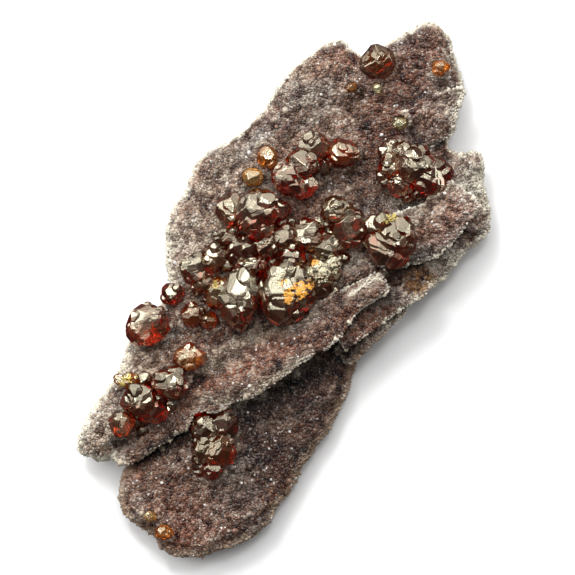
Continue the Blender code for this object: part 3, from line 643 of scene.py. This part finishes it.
# A crystal: the place of its middle, its half widths along X and Y and its half height, in
# millimetres, how far its top face leans towards +X and +Y, and its colour.
CRYSTALS = {
    "sphalerite_crown": [
        (17.0, 41.0, 3.1, 3.2, 3.2, -0.10, 0.30, EMBER)],
    "sphalerite_crown_orange": [
        (28.2, 40.0, 1.7, 1.4, 1.5, 0.20, 0.30, ORANGE)],
    "sphalerite_crown_grain": [
        (12.2, 36.4, 1.0, 0.8, 0.9, 0.10, 0.30, ORANGE)],
    "sphalerite_crown_pale": [
        (16.9, 36.3, 1.0, 0.9, 0.9, -0.20, 0.10, PALE_GREEN)],
    "sphalerite_step_pale": [
        (20.9, 30.0, 1.3, 1.1, 1.1, 0.00, 0.20, PALE_GREEN)],
    "sphalerite_shoulder_orange": [
        (-3.0, 23.9, 1.9, 2.0, 1.9, 0.20, 0.30, ORANGE)],
    "sphalerite_shoulder_honey": [
        (-5.5, 20.3, 1.9, 1.6, 1.7, -0.10, 0.30, HONEY)],
    "sphalerite_upper_string": [
        (10.6, 24.5, 2.9, 2.7, 2.7, 0.10, 0.50, EMBER),
        (5.7, 25.4, 2.7, 2.8, 2.7, 0.00, 0.30, UMBER),
        (3.2, 22.3, 3.0, 2.9, 3.0, -0.20, 0.30, RUBY),
        (0.8, 20.0, 2.9, 3.0, 2.9, -0.30, 0.30, RUBY),
        (3.6, 18.9, 2.4, 2.4, 2.1, 0.20, -0.20, RUBY)],
    "sphalerite_cluster": [
        (-9.3, 14.4, 2.9, 3.1, 2.8, -0.20, 0.20, TAN),
        (-4.8, 14.1, 4.0, 4.0, 3.8, -0.10, 0.10, UMBER),
        (-4.1, 10.9, 2.5, 2.5, 2.4, 0.10, -0.30, RUBY),
        (-0.7, 14.4, 2.0, 2.0, 1.9, 0.30, 0.10, RUBY),
        (-10.2, 9.4, 2.5, 2.0, 2.4, -0.20, 0.10, UMBER),
        (-8.2, 7.4, 2.9, 2.8, 2.6, 0.20, -0.20, RUBY),
        (-12.3, 5.8, 2.5, 2.5, 2.3, -0.30, 0.20, TAN),
        (-15.7, 3.6, 2.9, 2.7, 2.6, -0.10, 0.20, UMBER),
        (-14.4, 1.2, 2.2, 2.1, 2.2, -0.20, -0.20, TAN),
        (-11.8, -0.6, 2.4, 2.9, 2.5, -0.20, 0.20, GOLD),
        (-2.8, 8.1, 2.6, 2.9, 3.0, -0.30, 0.10, UMBER),
        (0.3, 9.0, 2.9, 2.8, 3.0, 0.00, 0.20, UMBER),
        (4.4, 9.9, 3.0, 2.9, 3.1, 0.10, 0.20, UMBER),
        (1.4, 6.2, 2.6, 2.5, 2.5, 0.10, -0.20, RUBY),
        (9.3, 14.3, 2.8, 2.6, 2.6, 0.10, 0.30, OLIVE),
        (11.7, 11.2, 3.2, 3.3, 3.2, 0.20, 0.20, UMBER),
        (7.7, 7.8, 3.7, 2.6, 2.6, 0.10, 0.10, OLIVE),
        (-7.9, -1.4, 3.8, 5.0, 3.9, -0.20, 0.10, UMBER),
        (-6.2, 4.2, 3.3, 1.9, 2.4, -0.20, 0.30, RUBY),
        (0.3, -0.6, 5.2, 5.2, 4.4, -0.10, 0.30, UMBER),
        (7.0, 3.3, 3.6, 2.5, 2.8, 0.10, 0.30, PALE_GREEN),
        (6.6, 0.8, 2.7, 2.4, 2.4, 0.20, 0.10, UMBER)],
    "sphalerite_string_end": [
        (-16.4, -4.5, 2.2, 2.2, 2.1, -0.20, 0.20, EMBER),
        (-13.3, -5.5, 1.7, 1.6, 1.6, 0.20, 0.20, EMBER)],
    "sphalerite_edge_red": [
        (-19.9, -0.8, 2.1, 2.2, 2.2, -0.20, 0.30, RUBY)],
    "sphalerite_edge_grey": [
        (-24.6, -6.3, 3.6, 3.9, 3.4, -0.30, 0.20, TAN),
        (-23.0, -5.1, 2.0, 2.0, 2.1, 0.20, 0.30, RUBY)],
    "sphalerite_ledge_group": [
        (23.5, 22.4, 3.5, 3.6, 3.6, 0.00, 0.30, UMBER),
        (26.2, 20.3, 3.5, 3.4, 3.2, 0.30, 0.10, RUBY),
        (21.2, 19.0, 2.4, 2.4, 2.2, -0.20, -0.10, RUBY),
        (21.2, 24.9, 1.9, 1.8, 1.9, 0.10, 0.30, TAN),
        (19.4, 22.4, 2.4, 2.6, 2.3, -0.30, 0.20, TAN)],
    "sphalerite_ledge_large": [
        (19.1, 9.3, 4.6, 4.6, 4.2, 0.35, -0.22, BROWN)],
    "sphalerite_slope_pale": [
        (-16.8, -12.2, 3.1, 2.0, 2.0, 0.30, -0.10, BROWN)],
    "sphalerite_left_group": [
        (-20.4, -16.8, 3.2, 2.9, 2.9, -0.10, 0.30, UMBER),
        (-25.6, -19.8, 3.2, 3.1, 3.0, -0.30, 0.20, UMBER),
        (-23.4, -21.6, 2.6, 2.3, 2.4, 0.10, -0.10, RUBY),
        (-28.9, -24.1, 2.2, 2.5, 2.2, -0.30, 0.10, TAN),
        (-28.2, -16.2, 2.2, 1.3, 1.5, -0.20, 0.30, GOLD)],
    "sphalerite_lower_group": [
        (-14.3, -24.6, 2.7, 2.7, 2.8, -0.30, -0.30, UMBER),
        (-10.8, -24.2, 2.6, 2.9, 2.5, 0.40, -0.35, RUBY),
        (-11.4, -28.8, 3.0, 3.2, 2.9, 0.40, -0.35, EMBER),
        (-14.3, -28.6, 2.5, 2.6, 2.6, -0.20, 0.10, TAN),
        (-12.8, -32.2, 2.1, 2.0, 2.0, 0.00, -0.20, RUBY)],
    "sphalerite_foot_gold": [
        (-24.0, -40.7, 1.1, 0.9, 1.0, -0.20, 0.10, HONEY)],
    "sphalerite_foot_orange": [
        (-21.6, -43.6, 1.5, 1.4, 1.4, 0.10, 0.20, ORANGE)],
}
CRYSTAL_SHIFT = Vector((-0.09, -0.16, 0.0)) * MM     # from the places above to the frame's

growth = random.Random(GROWTH_SEED)


def sphalerite_material(name, absorption, density, transmission):
    material, nodes, links, shader = new_material(name)
    where = add_node(nodes, "ShaderNodeTexCoord").outputs["Object"]
    zones = noise_node(nodes, links, where, COLOUR_ZONES, 3.0)
    depth = colour_ramp(nodes, links, zones.outputs["Fac"], [
        (0.35, (0.45, 0.45, 0.45)), (0.52, (1.0, 1.0, 1.0)), (0.70, (1.25, 1.25, 1.25))])
    tint = add_node(nodes, "ShaderNodeAttribute", attribute_name="tint")
    zoned = add_node(nodes, "ShaderNodeMix", data_type="RGBA", blend_type="MULTIPLY")
    zoned.inputs["Factor"].default_value = 1.0
    links.new(tint.outputs["Color"], zoned.inputs["A"])
    links.new(depth, zoned.inputs["B"])
    links.new(zoned.outputs["Result"], shader.inputs["Base Color"])
    frosting = noise_node(nodes, links, where, FROSTING, 3.0)
    frost = add_node(nodes, "ShaderNodeMapRange")
    frost.inputs["From Min"].default_value = 0.40
    frost.inputs["From Max"].default_value = 0.70
    frost.inputs["To Min"].default_value = FROST_ROUGHNESS[0]
    frost.inputs["To Max"].default_value = FROST_ROUGHNESS[1]
    links.new(frosting.outputs["Fac"], frost.inputs["Value"])
    links.new(frost.outputs["Result"], shader.inputs["Roughness"])
    shader.inputs["IOR"].default_value = SPHALERITE_IOR
    shader.inputs["Specular Tint"].default_value = WARM_GLOSS
    shader.inputs["Transmission Weight"].default_value = transmission
    squeeze = add_node(nodes, "ShaderNodeMapping")
    squeeze.inputs["Rotation"].default_value = (0.5, 0.3, STRIKE)
    squeeze.inputs["Scale"].default_value = STRIAE
    links.new(where, squeeze.inputs["Vector"])
    striae = noise_node(nodes, links, squeeze.outputs["Vector"], 1.0, 2.0)
    pits = noise_node(nodes, links, where, PITS, 2.0)
    relief = add_node(nodes, "ShaderNodeMath", operation="ADD")
    links.new(striae.outputs["Fac"], relief.inputs[0])
    links.new(pits.outputs["Fac"], relief.inputs[1])
    add_bump(nodes, links, shader, relief.outputs["Value"], FACE_RELIEF)
    volume = add_node(nodes, "ShaderNodeVolumeAbsorption")
    volume.inputs["Color"].default_value = (*absorption, 1.0)
    volume.inputs["Density"].default_value = density
    links.new(volume.outputs["Volume"], nodes["Material Output"].inputs["Volume"])
    return material


# A finish: the colour that passes through it, how strongly it absorbs, and its transmission.
FINISHES = {
    "sphalerite_red": ((0.92, 0.36, 0.03), 440.0, 0.96),
    "sphalerite_orange": ((0.98, 0.55, 0.08), 230.0, 0.93),
    "sphalerite_honey": ((0.98, 0.72, 0.30), 200.0, 0.88),
    "sphalerite_brown": ((0.91, 0.36, 0.04), 420.0, 0.96),
    "sphalerite_pale": ((0.95, 0.80, 0.45), 150.0, 0.80),
}
finishes = {name: sphalerite_material(name, *values) for name, values in FINISHES.items()}
slot_of_node = {part["node"]: part["material_slot"] for part in frame["record"]["subparts"]}


def block_directions():
    """Which way each face of a block looks, and how far out it is, as (normal, share)."""
    faces = []
    for x, y, z in itertools.product((-1, 0, 1), repeat=3):
        reach = abs(x) + abs(y) + abs(z)
        if reach:
            form = ("cube", "edge", "tetrahedron")[reach - 1]
            share = growth.uniform(*FACE_SHARES[form])
            if x * y * z < 0:
                share += NEGATIVE_STEP
            for step, tilt in zip(FACE_STEPS, (FACE_TILT, STEP_TILT)):
                wander = Vector(growth.gauss(0.0, tilt) for _ in range(3))
                faces.append(((Vector((x, y, z)).normalized() + wander).normalized(), share + step))
    return faces


def cut_block(middle, size, lean):
    """A block of sphalerite, cut from a cube a face at a time."""
    bpy.ops.object.select_all(action="DESELECT")
    bpy.ops.mesh.primitive_cube_add(size=BLANK, calc_uvs=False, location=(0, 0, 0))
    block = bpy.context.object
    stand = Vector((1, 1, 1)).rotation_difference(Vector((0, 0, 1))).to_matrix()
    axis = Vector((growth.gauss(0, 1), growth.gauss(0, 1), 0.0)).normalized()
    turn = Matrix.Rotation(growth.uniform(0, math.tau), 3, "Z")
    turn = Matrix.Rotation(growth.uniform(*TOP_TILT), 3, axis) @ turn
    upward = Vector((0, 0, 1)).rotation_difference(Vector((*lean, 1.0)).normalized()).to_matrix()
    bpy.ops.object.mode_set(mode="EDIT")
    for normal, share in block_directions():
        facing = upward @ turn @ stand @ normal
        bpy.ops.mesh.select_all(action="SELECT")
        bpy.ops.mesh.bisect(plane_co=facing * share, plane_no=facing, use_fill=True,
                            clear_outer=True, threshold=1e-5)
    bpy.ops.mesh.select_all(action="SELECT")
    bpy.ops.mesh.remove_doubles(threshold=SHORT_EDGE)
    bpy.ops.object.mode_set(mode="OBJECT")
    bevel = block.modifiers.new("worn edges", "BEVEL")
    bevel.width = EDGE_BEVEL / size.length * math.sqrt(3.0)
    bevel.segments = 1
    bevel.limit_method = "ANGLE"
    bevel.angle_limit = BEVEL_ANGLE
    bpy.ops.object.modifier_apply(modifier=bevel.name)
    top = max(v.co.z for v in block.data.vertices)
    for vertex in block.data.vertices:
        vertex.co.z -= top - TOP_SHARE
    block.matrix_world = Matrix.Translation(middle) @ Matrix.Diagonal((*size, 1.0))
    return block


def grown_copy(block, middle, size, collection):
    """A smaller block on the side of a crystal, in line with it or turned as a twin."""
    out = Vector((growth.gauss(0, 1), growth.gauss(0, 1), abs(growth.gauss(0.2, 0.8)))).normalized()
    scale = growth.uniform(*SMALL_SIZE)
    reach = min(growth.uniform(*SMALL_OUT), SMALL_REACH - 0.8 * scale)
    spot = middle + Vector(out[i] * size[i] for i in range(3)) * reach
    spot.z = min(spot.z, middle.z + TOP_SHARE * size.z * (1.0 - scale) + SMALL_RISE)
    turn = growth.gauss(0.0, SMALL_TURN)
    if growth.random() < TWINNED:
        turn += math.pi / 3
    copy = bpy.data.objects.new("growth", block.data.copy())
    collection.objects.link(copy)
    copy.matrix_world = (Matrix.Translation(spot) @ Matrix.Rotation(turn, 4, "Z")
                         @ Matrix.Rotation(growth.gauss(0.0, SMALL_LEAN), 4, "X")
                         @ Matrix.Diagonal((*(scale * Vector(size)), 1.0)))


def gap_fillers(node, centres):
    """Small dark crystals low in the gaps between a node's crystals."""
    fillers = []
    if len(centres) < 3:
        return fillers
    low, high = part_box(node)
    for _ in range(FILLER_TRIES):
        spot = Vector((growth.uniform(low.x, high.x), growth.uniform(low.y, high.y), 0.0))
        away = sorted(math.hypot((spot.x - c.x) / s.x, (spot.y - c.y) / s.y) for c, s, _ in centres)
        near = any((spot.xy - f.xy).length < FILLER_SPACING for f, _ in fillers)
        if FILLER_GAP[0] < away[0] and away[2] < FILLER_GAP[1] and not near:
            ground = rock_tree.ray_cast(Vector((spot.x, spot.y, 1.0)), Vector((0, 0, -1)))[0]
            size = Vector((1.0, *(growth.uniform(*share) for share in FILLER_SHAPE)))
            spot.z = ground.z + growth.uniform(*FILLER_HEIGHT) * MM
            fillers.append((spot, size * growth.uniform(*FILLER_SIZE)))
    return fillers


def paint_tints(mesh, centres):
    """Each corner takes the colour of the crystal that it is nearest to, for its size, turning deeper
    lower down: partly colour zoning, partly painted shade on the lower flanks.
    """
    places = coordinates(mesh)
    away = np.stack([(((places - np.array(c)) / np.array(s)) ** 2).sum(axis=1) for c, s, _ in centres])
    nearest = away.argmin(axis=0)
    tints = np.array([t for _, _, t in centres])[nearest]
    deep_and_shaded = np.array([DEEP_AND_SHADED[t] for _, _, t in centres])[nearest]
    middles = np.array([c.z for c, _, _ in centres])[nearest]
    heights = np.array([s[2] for _, s, _ in centres])[nearest]
    # Deeper colour and painted shade: darker towards each crystal's foot.
    tints += (deep_and_shaded - tints) * smoothstep(*DEEP_AND_SHADED_FROM, (places[:, 2] - middles) / heights)[:, None]
    attribute = mesh.color_attributes.new("tint", "FLOAT_COLOR", "POINT")
    attribute.data.foreach_set("color", np.column_stack([tints, np.ones(len(tints))]).ravel())


crystal_pieces = []
rock_tree = BVHTree.FromObject(rock, bpy.context.evaluated_depsgraph_get())

for node in sphalerite_nodes:
    tree = BVHTree.FromObject(frame["nodes"][node], bpy.context.evaluated_depsgraph_get())
    together = bpy.data.collections.new(node + "_blocks")
    bpy.context.scene.collection.children.link(together)
    blocks = []
    centres = []
    for x, y, wide, tall, high, lean_x, lean_y, tint in CRYSTALS[node]:
        middle = Vector((x, y, 0.0)) * MM + CRYSTAL_SHIFT
        size = Vector((wide, tall, high)) * MM
        top = tree.ray_cast(middle + Vector((0, 0, 1)), Vector((0, 0, -1)))[0].z
        middle.z = top + TOP_RAISE - TOP_SHARE * size.z
        centres.append((middle, size, tint))
        block = cut_block(middle, size, (lean_x, lean_y))
        blocks.append(block)
        for _ in range(2 + int(SMALL_BLOCKS * wide ** 2)):
            grown_copy(block, middle, size, together)
    for spot, size in gap_fillers(node, centres):
        block = cut_block(spot, size, [growth.uniform(*lean) for lean in FILLER_LEAN])
        centres.append((spot, size, RUBY))
        blocks.append(block)
    for block in blocks[1:]:
        block.users_collection[0].objects.unlink(block)
        together.objects.link(block)
    piece = blocks[0]
    piece.name = node + "_crystals"
    select_only(piece)
    bpy.ops.object.transform_apply(location=True, rotation=True, scale=True)
    union = piece.modifiers.new("grown together", "BOOLEAN")
    union.operation = "UNION"
    union.operand_type = "COLLECTION"
    union.collection = together
    union.solver = "MANIFOLD"
    bpy.ops.object.modifier_apply(modifier=union.name)
    for small in list(together.objects):
        bpy.data.objects.remove(small)
    bpy.data.collections.remove(together)
    paint_tints(piece.data, centres)
    piece.data.materials.clear()
    piece.data.materials.append(finishes[slot_of_node[node]])
    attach(piece, "root")
    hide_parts(node)
    crystal_pieces.append(piece)


# ================================================================ the late coatings
# Thin crusts of small grains that grew last, on top of some of the crystals: orange-yellow
# on the largest, yellow spots, and cream to pale green plates of fine carbonate.

YELLOW = np.array((0.80, 0.310, 0.010))
MOSS = np.array((0.50, 0.360, 0.060))
IVORY = np.array((0.620, 0.530, 0.370))
# A coating: its middle, half length along the strike and half width in millimetres, how
# many grains are tried, and its colour.
COATINGS = [
    (2.4, -0.5, 2.5, 1.1, 980, YELLOW), (-0.2, 1.0, 0.6, 0.5, 70, YELLOW),
    (-0.8, 0.6, 1.2, 0.8, 130, IVORY), (0.2, 2.9, 2.8, 0.5, 230, IVORY),
    (7.2, 3.6, 2.6, 1.5, 560, IVORY), (5.6, 4.8, 0.8, 0.5, 60, YELLOW),
    (-11.9, 0.9, 0.8, 0.6, 80, MOSS), (19.0, 12.7, 1.3, 0.6, 110, MOSS),
    (-27.9, -16.0, 1.6, 0.7, 130, MOSS), (-16.6, -11.2, 2.2, 0.35, 110, IVORY),
    (-18.0, 4.6, 1.0, 0.8, 90, IVORY)]
COAT_REACH = 1.35             # the outermost grains, in half widths
COAT_CROWDING = 0.7           # a power: over a half, the grains crowd towards the middle
COAT_GAPS = (0.8 * MM, -0.12)             # width of the gaps' noise, and where it leaves one
GRAIN_WIDTH = (0.08 * MM, 0.22 * MM)
GRAIN_SINK = 0.05 * MM
GRAIN_TILT = 0.5
GRAIN_LIGHT = (0.45, 1.35)
POWDER = np.array((0.8, 1.0, 0.5))        # a pale powder on the grains
POWDER_SHARE = (0.0, 0.12)
DUST = 3200.0                 # noise features to a metre
DUST_BUMP = 0.05 * MM

grown_tree = tree_of(crystal_pieces)
spots, directions, tones = [], [], []
for x, y, along, across, count, colour in COATINGS:
    for _ in range(count):
        reach, turn = COAT_REACH * rng.random() ** COAT_CROWDING, rng.uniform(0.0, math.tau)
        u, v = reach * math.cos(turn) * along, reach * math.sin(turn) * across
        place = Vector((x + u * math.cos(STRIKE) - v * math.sin(STRIKE),
                        y + u * math.sin(STRIKE) + v * math.cos(STRIKE), 0.0)) * MM
        hit, normal, _, _ = grown_tree.ray_cast(place + Vector((0, 0, 1)), Vector((0, 0, -1)))
        if hit and noise.noise(hit / COAT_GAPS[0]) > COAT_GAPS[1]:
            spots.append(hit - GRAIN_SINK * normal)
            directions.append(normal)
            light, powder = rng.uniform(*GRAIN_LIGHT), rng.uniform(*POWDER_SHARE)
            tones.append(colour * light + powder * POWDER)
spots, directions, tones = np.array(spots), np.array(directions), np.clip(tones, 0.0, 0.95)
half = rng.uniform(*GRAIN_WIDTH, len(spots))
solid, faces = grow_points(spots, directions, half, False, GRAIN_TILT)
coating = mesh_of("late_coatings", [(solid, faces, tones)])
coating_material, nodes, links, shader = new_material("carbonate_grains")
tone = add_node(nodes, "ShaderNodeAttribute", attribute_name="tone")
where = add_node(nodes, "ShaderNodeTexCoord").outputs["Object"]
dust = noise_node(nodes, links, where, DUST, 2.0)
links.new(tone.outputs["Color"], shader.inputs["Base Color"])
add_bump(nodes, links, shader, dust.outputs["Fac"], DUST_BUMP)
shader.inputs["Roughness"].default_value = 0.35
coating.data.materials.append(coating_material)
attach(coating, "root")


# ================================================================ floor, light and camera
# A plain white floor that the crystals don't mirror, soft light from beyond the top edge with
# two small lights for glints and a low one on each side, and a camera that looks straight down.

floor_mesh = bpy.data.meshes.new("floor")
floor_mesh.from_pydata([(-3, -3, 0), (3, -3, 0), (3, 3, 0), (-3, 3, 0)], [], [(0, 1, 2, 3)])
floor = bpy.data.objects.new("floor", floor_mesh)
floor.location.z = -0.05 * MM
bpy.context.scene.collection.objects.link(floor)
floor_material, nodes, links, shader = new_material("floor")
shader.inputs["Base Color"].default_value = (0.92, 0.92, 0.92, 1.0)
shader.inputs["Roughness"].default_value = 0.9
shader.inputs["Specular IOR Level"].default_value = 0.1
floor.data.materials.append(floor_material)
floor.visible_glossy = False

LIGHT_DISTANCE = 0.70
BRIGHT_SIDE = (-0.26, 0.76, 0.59)          # the sky is white this way and dark elsewhere
SKY_STRENGTH = 2.7


def area_light(name, direction, size, power):
    """A square light that faces the specimen from the given side."""
    data = bpy.data.lights.new(name, "AREA")
    data.shape = "SQUARE"
    data.size = size
    data.energy = power
    light = bpy.data.objects.new(name, data)
    direction = Vector(direction).normalized()
    light.location = direction * LIGHT_DISTANCE
    light.rotation_euler = direction.to_track_quat("Z", "Y").to_euler()
    bpy.context.scene.collection.objects.link(light)


area_light("key", (-0.24, 0.78, 0.58), 0.34, 1.6)
area_light("spark_1", (-0.28, 0.60, 0.75), 0.12, 1.4)
area_light("spark_2", (0.12, 0.42, 0.90), 0.07, 0.6)
area_light("edge_light", (0.95, 0.26, 0.12), 0.30, 1.4)
area_light("rim_light", (-0.90, 0.40, 0.34), 0.26, 1.3)

world = bpy.data.worlds.new("studio")
bpy.context.scene.world = world
world.use_nodes = True
nodes, links = world.node_tree.nodes, world.node_tree.links
sky = add_node(nodes, "ShaderNodeTexCoord").outputs["Generated"]
toward_light = add_node(nodes, "ShaderNodeVectorMath", operation="DOT_PRODUCT")
toward_light.inputs[1].default_value = BRIGHT_SIDE
links.new(sky, toward_light.inputs[0])
glow = colour_ramp(nodes, links, toward_light.outputs["Value"], [
    (0.0, (0.015, 0.015, 0.015)), (0.55, (0.10, 0.10, 0.10)), (0.76, (1.0, 1.0, 1.0))])
links.new(glow, nodes["Background"].inputs["Color"])
nodes["Background"].inputs["Strength"].default_value = SKY_STRENGTH

SENSOR = 36.0
MM_PER_PIXEL = 0.18
FRAME_PIXELS = 575
CAMERA_HEIGHT = 0.60
FACE_HEIGHT = 8.0 * MM
AIM = (0.6 * MM, 0.3 * MM)
camera_data = bpy.data.cameras.new("camera")
camera_data.sensor_width = SENSOR
camera_data.lens = SENSOR * CAMERA_HEIGHT / (FRAME_PIXELS * MM_PER_PIXEL * MM)
camera_data.clip_start = 0.01
camera = bpy.data.objects.new("camera", camera_data)
camera.location = (*AIM, FACE_HEIGHT + CAMERA_HEIGHT)
bpy.context.scene.collection.objects.link(camera)
bpy.context.scene.camera = camera
bpy.context.scene.view_settings.view_transform = "Standard"
